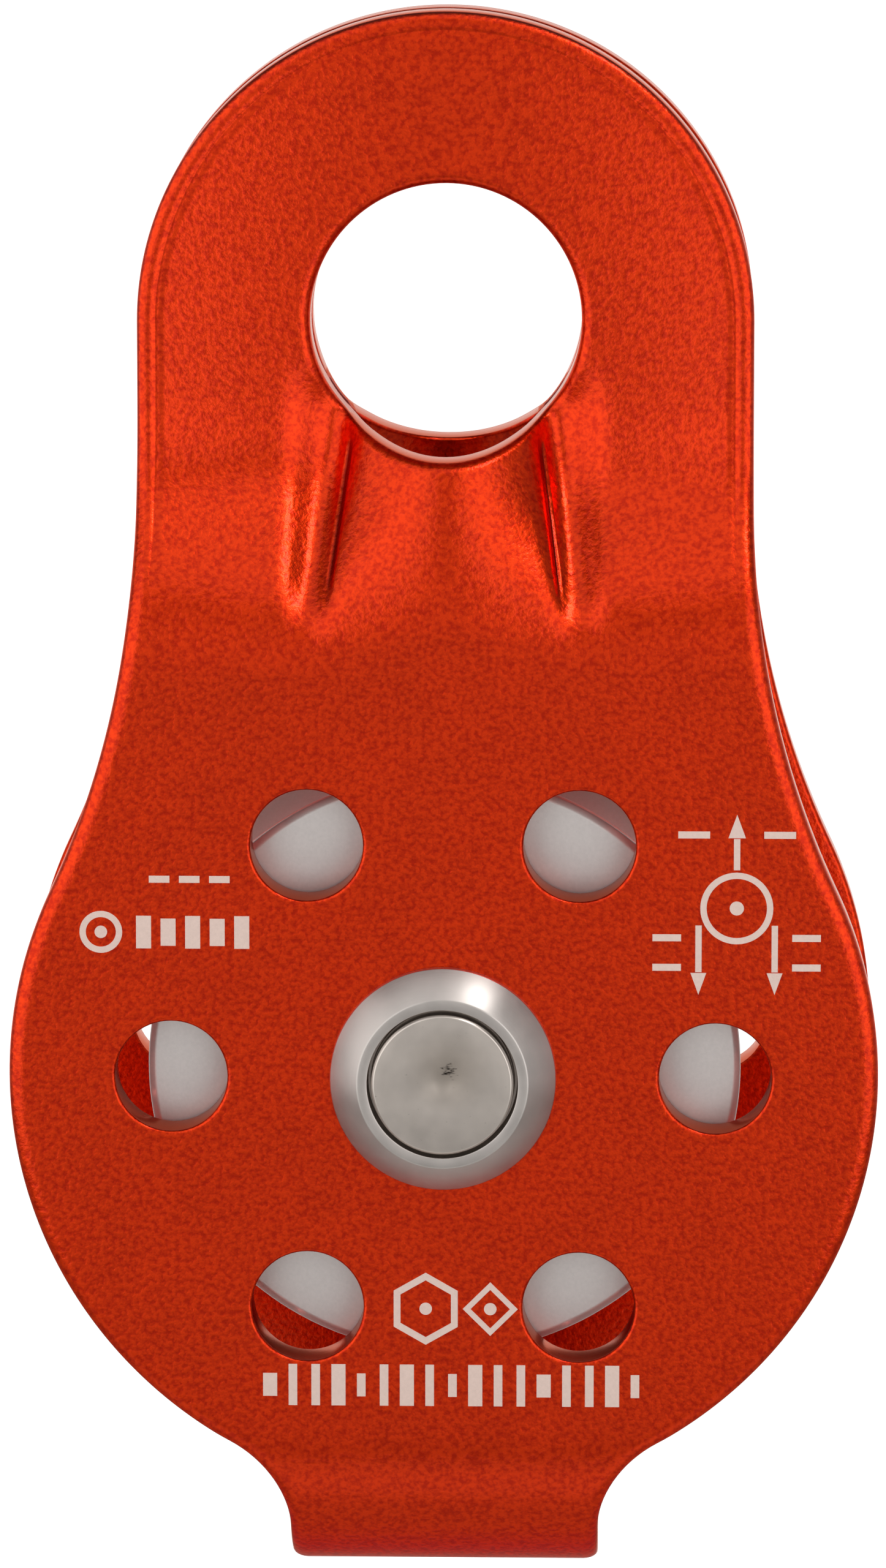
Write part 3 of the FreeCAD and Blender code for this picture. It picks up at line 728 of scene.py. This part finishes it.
class PULLEY_OT_side_plate(bpy.types.Operator):
    """Build the folded, anodised side plate"""
    bl_idname = "pulley.side_plate"
    bl_label = "Side plate"

    def execute(self, context):
        sizes = context.scene.pulley_plate
        finished("side_plate", plate_mesh(sizes), anodised_aluminium(sizes),
                 BODY_OF["folded_side_plate"], ["folded_side_plate"])
        return {"FINISHED"}


# ---------------------------------------------------------------- etched marks

class MarkPad:
    """Draws flat strokes on the front cheek, in millimetres from the axle."""

    def __init__(self, stroke=0.4):
        self.bm = bmesh.new()
        self.stroke = stroke

    def bar(self, x, z, width, height):
        """A rectangle about its middle."""
        place = Matrix.Translation((x, z, 0)) @ Matrix.Diagonal((width, height, 1, 1))
        bmesh.ops.create_grid(self.bm, x_segments=1, y_segments=1, size=0.5, matrix=place)

    def ring(self, x, z, radius, corners=48):
        """A ring of one stroke's width, or a polygon if it has few corners."""
        half = self.stroke / 2
        inner = self.bm.verts.new((x, z + radius - half, 0))
        outer = self.bm.verts.new((x, z + radius + half, 0))
        edge = self.bm.edges.new((inner, outer))
        bmesh.ops.spin(self.bm, geom=[inner, outer, edge], cent=(x, z, 0), axis=(0, 0, 1),
                       angle=FULL_TURN, steps=corners, use_merge=True)

    def dot(self, x, z, radius):
        """A filled round dot."""
        bmesh.ops.create_circle(self.bm, cap_ends=True, segments=24, radius=radius,
                                matrix=Matrix.Translation((x, z, 0)))

    def tip(self, x, z, width, height):
        """An arrow's tip: its base is at z and it points up, or down if height is negative."""
        corners = [(x - width / 2, z, 0), (x + width / 2, z, 0), (x, z + height, 0)]
        self.bm.faces.new([self.bm.verts.new(c) for c in corners])

    def finish(self, name, material):
        """Give the strokes their thickness and lay them on the cheek."""
        bm = self.bm
        bmesh.ops.recalc_face_normals(bm, faces=bm.faces[:])
        for face in bm.faces:
            if face.normal.z < 0:
                face.normal_flip()
        sunk, proud = 0.02, 0.015
        bmesh.ops.translate(bm, verts=bm.verts[:], vec=(0, 0, -sunk))
        made = bmesh.ops.extrude_face_region(bm, geom=bm.faces[:], use_keep_orig=True)["geom"]
        bmesh.ops.translate(bm, verts=verts_in(made), vec=(0, 0, sunk + proud))
        stand = Matrix.Rotation(math.radians(90), 4, "X")
        onto = Matrix.Translation((0, PLATE_LOW.y, AXLE.z)) @ stand @ Matrix.Scale(MM, 4)
        bmesh.ops.transform(bm, matrix=onto, verts=bm.verts[:])
        bmesh.ops.recalc_face_normals(bm, faces=bm.faces[:])
        piece = finished(name, bm, material, BODY_OF["folded_side_plate"])
        piece.data.shade_flat()


class PULLEY_OT_etched_marks(bpy.types.Operator):
    """Etch the plain symbols on the front cheek"""
    bl_idname = "pulley.etched_marks"
    bl_label = "Etched marks"

    def execute(self, context):
        etched = tumbled_aluminium("laser_etched_aluminium", context.scene.pulley_metal.etched)
        self.rope_mark(etched)
        self.load_mark(etched)
        self.check_mark(etched)
        self.tally_mark(etched)
        return {"FINISHED"}

    def rope_mark(self, material):
        """Rope section symbol: a ring with a dot, beside plain bars."""
        pad = MarkPad()
        pad.ring(-21.6, 9.3, 1.15)
        pad.dot(-21.6, 9.3, 0.4)
        for i in range(5):
            pad.bar(-18.9 + i * 1.55, 9.3, 0.95, 2.1 - 0.35 * (i % 2))
        for i in range(3):
            pad.bar(-17.9 + i * 1.9, 12.7, 1.3, 0.45)
        pad.finish("rope_mark", material)

    def load_mark(self, material):
        """Load diagram: a ring pulled up on its middle and down on both sides."""
        pad = MarkPad()
        x, z, radius = 18.5, 11.0, 2.1
        pad.ring(x, z, radius)
        pad.dot(x, z, 0.45)
        pad.bar(x, z + 3.45, pad.stroke, 2.0)
        pad.tip(x, z + 4.5, 1.1, 1.5)
        for side in (-1, 1):
            beside = x + side * (radius + 0.3)
            pad.bar(beside, z - 2.6, pad.stroke, 3.0)
            pad.tip(beside, z - 4.15, 1.0, -1.4)
            for row in (0, 1):
                pad.bar(x + side * 4.4, z - 1.9 - 1.9 * row, 1.8, 0.45)
            pad.bar(x + side * 2.7, z + 4.7, 2.0, 0.45)
        pad.finish("load_mark", material)

    def check_mark(self, material):
        """Inspection symbol: a hexagon and a diamond, each round a dot."""
        pad = MarkPad(0.5)
        for x, radius, corners in ((-1.1, 2.1, 6), (3.0, 1.5, 4)):
            pad.ring(x, -15.0, radius, corners)
            pad.dot(x, -15.0, 0.4)
        pad.finish("check_mark", material)

    def tally_mark(self, material):
        """A row of plain tally bars."""
        pad = MarkPad()
        for i in range(17):
            height = 2.7 if i % 4 else 1.5
            pad.bar(-11.0 + i * 1.45, -20.0, 0.55 if i % 3 else 0.9, height)
        pad.finish("tally_mark", material)


# ---------------------------------------------------------------- axle, sheave, bearings

class PULLEY_OT_axle(bpy.types.Operator):
    """Turn the axle pin and its two collars"""
    bl_idname = "pulley.axle"
    bl_label = "Axle and collars"

    def execute(self, context):
        sizes = context.scene.pulley_metal
        steel = turned_steel("turned_stainless_steel", sizes.steel, 0.36, 0.11 * MM, 0.0016 * MM)
        ends = turned_steel("faced_stainless_steel", sizes.pin_steel, 0.3, 0.25 * MM, 0.001 * MM,
                            pip=sizes)
        self.collars(sizes, steel)
        self.pin(sizes, ends)
        return {"FINISHED"}

    def collars(self, s, material):
        """The bevelled collars: rim, cone, flat top and the gap round the pin."""
        height = COLLAR_HIGH.y - COLLAR_LOW.y
        bore = PIN_HIGH.x
        mouth = bore + s.collar_relief
        relief_floor = height - s.collar_relief_depth
        section = [(bore, 0), (COLLAR_HIGH.x, 0), (COLLAR_HIGH.x, s.collar_rim),
                   (s.collar_top, height), (mouth, height), (mouth, relief_floor),
                   (bore, relief_floor)]
        for end, side in (("front", -1), ("rear", 1)):
            placed = [(radius, side * (COLLAR_LOW.y + along)) for radius, along in section]
            node = f"{end}_collar"
            finished(f"{end}_bevelled_collar", turned(node, placed, s.collar_edge), material,
                     BODY_OF[node], [node])

    def pin(self, s, material):
        """The pin with a bevelled, dimpled end on each side."""
        end, radius = PIN_HIGH.y, PIN_HIGH.x
        outer = [(0, end - s.dimple_depth), (s.dimple_radius, end), (radius - s.pin_bevel, end),
                 (radius, end - s.pin_bevel)]
        section = outer + [(r, -along) for r, along in reversed(outer)]
        finished("pin", turned("pin", section, 0.05 * MM), material, BODY_OF["axle_pin"],
                 ["axle_pin"])


class PULLEY_OT_sheave(bpy.types.Operator):
    """Turn the grooved sheave"""
    bl_idname = "pulley.sheave"
    bl_label = "Sheave"

    def execute(self, context):
        s = context.scene.pulley_metal
        radius, face = SHEAVE_HIGH.x, SHEAVE_HIGH.y
        seat, bearing = SPACER_HIGH.y, BEARING_HIGH.x
        opening = math.acos((radius - s.groove_centre) / s.groove_radius)
        count = 40
        turns = [opening + (FULL_TURN - 2 * opening) * i / count for i in range(count + 1)]
        groove = [(s.groove_centre + s.groove_radius * math.cos(t), s.groove_radius * math.sin(t))
                  for t in turns]
        section = [(s.shoulder, -seat), (s.shoulder, seat), (bearing, seat), (bearing, face),
                   (radius - s.rim_bevel, face), (radius, face - s.rim_bevel_depth), *groove,
                   (radius, s.rim_bevel_depth - face), (radius - s.rim_bevel, -face),
                   (bearing, -face), (bearing, -seat)]
        finished("grooved_sheave", turned("sheave", section, s.sheave_edge, 180),
                 tumbled_aluminium("tumbled_bare_aluminium", s.aluminium),
                 BODY_OF["sheave"], ["sheave"])
        return {"FINISHED"}


class PULLEY_OT_bearings(bpy.types.Operator):
    """Give the bearings, shims and spacer their finishes"""
    bl_idname = "pulley.bearings"
    bl_label = "Bearings"

    def execute(self, context):
        finishes = {
            "ring": ground_steel("ground_bearing_steel", linear("#C4C6CA"), 0.16),
            "balls": ground_steel("lapped_ball_steel", linear("#D2D4D8"), 0.06),
            "seal": moulded("nitrile_rubber", linear("#1B1A19"), 0.6, 0.3 * MM),
            "cage": moulded("nylon", linear("#DCC9A0"), 0.45, 0.5 * MM),
            "washer": ground_steel("rolled_shim_steel", linear("#BCBAB6"), 0.32),
            "spacer": tumbled_aluminium("turned_aluminium", context.scene.pulley_metal.aluminium),
        }
        for name, node in frame["nodes"].items():
            kind = name.split("_")[-1]
            if kind not in finishes:
                continue
            for slot in node.material_slots:
                slot.material = finishes[kind]
        return {"FINISHED"}


# ---------------------------------------------------------------- studio

def direction(round_from_front, up):
    """The way out from the pulley, by degrees round from the front towards +X and degrees up."""
    azimuth, elevation = math.radians(round_from_front), math.radians(up)
    return Vector((math.sin(azimuth) * math.cos(elevation),
                   -math.cos(azimuth) * math.cos(elevation), math.sin(elevation)))


class PULLEY_OT_studio(bpy.types.Operator):
    """Set up the pale floor, the soft lights and the camera"""
    bl_idname = "pulley.studio"
    bl_label = "Studio"

    def execute(self, context):
        s = context.scene.pulley_studio
        context.scene.view_settings.view_transform = "Standard"
        self.sweep(s)
        self.room(context.scene, s)
        self.softbox("left_softbox", (-46, 12), 0.70, (0.90, 0.90), s.left_light)
        self.softbox("right_softbox", (34, 8), 0.75, (0.60, 0.80), s.right_light)
        self.softbox("right_lamp", (44, 54), 0.60, (0.12, 0.14), s.lamp)
        self.softbox("top_softbox", (0, 58), 0.70, (0.90, 0.40), s.top_light)
        self.softbox("low_softbox", (0, -48), 0.70, (0.90, 0.35), s.low_light)
        self.camera(context.scene, s)
        return {"FINISHED"}

    def sweep(self, s):
        """A pale floor that rises into a backdrop; higher up the paper itself glows with painted light, though it
        is no lamp.
        """
        floor_z = PLATE_LOW.z - s.floor_drop
        half_width, front, back, bend_radius, wall_height = 3.0, -2.0, 1.2, 0.5, 2.0
        bm = bmesh.new()
        near = [bm.verts.new((x, front, floor_z)) for x in (-half_width, half_width)]
        line = bm.edges.new(near)
        made = bmesh.ops.extrude_edge_only(bm, edges=[line])["geom"]
        far = verts_in(made)
        bmesh.ops.translate(bm, verts=far, vec=(0, back - front, 0))
        edge = [e for e in bm.edges if all(abs(v.co.y - back) < 1e-6 for v in e.verts)]
        bend = bmesh.ops.spin(bm, geom=far + edge, cent=(0, back, floor_z + bend_radius),
                              axis=(1, 0, 0), angle=math.pi / 2, steps=24)["geom_last"]
        made = bmesh.ops.extrude_edge_only(bm, edges=edges_in(bend))["geom"]
        bmesh.ops.translate(bm, verts=verts_in(made), vec=(0, 0, wall_height))
        material, tree = new_material("studio_paper_painted_glow")
        place = add_node(tree, "TexCoord", {}).outputs["Object"]
        height = add_node(tree, "SeparateXYZ", {"Vector": place}).outputs["Z"]
        # painted light: above this height the paper glows by its own emission, rising to full glow higher up
        glow_start_height, glow_full_height = -0.85, -0.63
        painted_glow = add_node(tree, "MapRange", {
            "Value": height, "From Min": glow_start_height, "From Max": glow_full_height, "To Min": 0.0,
            "To Max": 0.95}).outputs["Result"]
        fibres_per_metre = 900.0
        fibres = add_node(tree, "TexNoise", {
            "Vector": place, "Scale": fibres_per_metre}).outputs["Fac"]
        bump = add_node(tree, "Bump", {"Height": fibres, "Distance": 0.02 * MM})
        surface(tree, {"Base Color": s.floor, "Roughness": 0.9, "Normal": bump.outputs["Normal"],
                       "Emission Color": s.floor, "Emission Strength": painted_glow})
        smooth_object("sweep", bm, material)

    def room(self, scene, s):
        """The room's light: even at eye level, dim overhead and underfoot."""
        world = bpy.data.worlds.new("room")
        world.use_nodes = True
        tree = world.node_tree
        tree.nodes.clear()
        way = add_node(tree, "TexCoord", {}).outputs["Generated"]
        up = add_node(tree, "SeparateXYZ", {"Vector": way}).outputs["Z"]
        level = add_node(tree, "Math", {0: up}, operation="ABSOLUTE").outputs["Value"]
        light = add_node(tree, "MapRange", {
            "Value": level, "From Min": 0.2, "From Max": 0.7, "To Min": 1.0,
            "To Max": 0.25}).outputs["Result"]
        background = add_node(tree, "Background", {"Color": s.room, "Strength": light})
        add_node(tree, "OutputWorld", {"Surface": background.outputs["Background"]})
        scene.world = world

    def softbox(self, name, way, distance, size, brightness):
        """An area light turned towards the pulley; brightness is what a white mirror shows."""
        light = bpy.data.lights.new(name, "AREA")
        light.shape = "RECTANGLE"
        light.size, light.size_y = size
        light.energy = brightness * math.pi * size[0] * size[1]
        out = direction(*way)
        holder = bpy.data.objects.new(name, light)
        holder.location = Vector((0, 0, AXLE.z / 2)) + out * distance
        holder.rotation_euler = (-out).to_track_quat("-Z", "Y").to_euler()
        bpy.context.scene.collection.objects.link(holder)

    def camera(self, scene, s):
        """A long lens a little above, shifted down so that uprights lean in less."""
        film = 36.0
        data = bpy.data.cameras.new("camera")
        data.sensor_width = film
        target = Vector((0, PLATE_LOW.y, AXLE.z + s.aim_above_axle))
        lowered = math.atan(s.shift * s.frame_height / s.distance)
        data.lens = film * s.distance * math.cos(lowered) / s.frame_height
        data.shift_y = -s.shift
        data.clip_start, data.clip_end = 0.01, 20.0
        holder = bpy.data.objects.new("camera", data)
        holder.location = target + direction(s.azimuth, s.elevation) * s.distance
        tilt = math.radians(s.elevation) - lowered
        holder.rotation_euler = (math.pi / 2 - tilt, 0, math.radians(s.azimuth))
        scene.collection.objects.link(holder)
        scene.camera = holder


# ---------------------------------------------------------------- panel and main

class PULLEY_PT_panel(bpy.types.Panel):
    """Sidebar panel that lists the pulley's operators and settings"""
    bl_label = "Rope pulley"
    bl_idname = "PULLEY_PT_panel"
    bl_space_type = "VIEW_3D"
    bl_region_type = "UI"
    bl_category = "Pulley"

    def draw(self, context):
        for operator in OPERATORS:
            self.layout.operator(operator.bl_idname)
        for setting in SETTINGS:
            group = getattr(context.scene, setting)
            box = self.layout.box()
            for name in group.bl_rna.properties.keys():
                if name not in ("rna_type", "name"):
                    box.prop(group, name)


SETTINGS = {"pulley_plate": PlateSettings, "pulley_metal": MetalSettings,
            "pulley_studio": StudioSettings}
OPERATORS = [PULLEY_OT_side_plate, PULLEY_OT_etched_marks, PULLEY_OT_axle, PULLEY_OT_sheave,
             PULLEY_OT_bearings, PULLEY_OT_studio]


def register():
    """Add the classes and the scene's settings."""
    for cls in [*SETTINGS.values(), *OPERATORS, PULLEY_PT_panel]:
        bpy.utils.register_class(cls)
    for name, group in SETTINGS.items():
        setattr(bpy.types.Scene, name, bpy.props.PointerProperty(type=group))


def unregister():
    """Take them away again."""
    for name in SETTINGS:
        delattr(bpy.types.Scene, name)
    for cls in reversed([*SETTINGS.values(), *OPERATORS, PULLEY_PT_panel]):
        bpy.utils.unregister_class(cls)


def main():
    """Build every piece and the studio."""
    register()
    bpy.ops.pulley.side_plate()
    bpy.ops.pulley.etched_marks()
    bpy.ops.pulley.axle()
    bpy.ops.pulley.sheave()
    bpy.ops.pulley.bearings()
    bpy.ops.pulley.studio()
    bpy.context.view_layer.update()


if __name__ == "__main__":
    main()
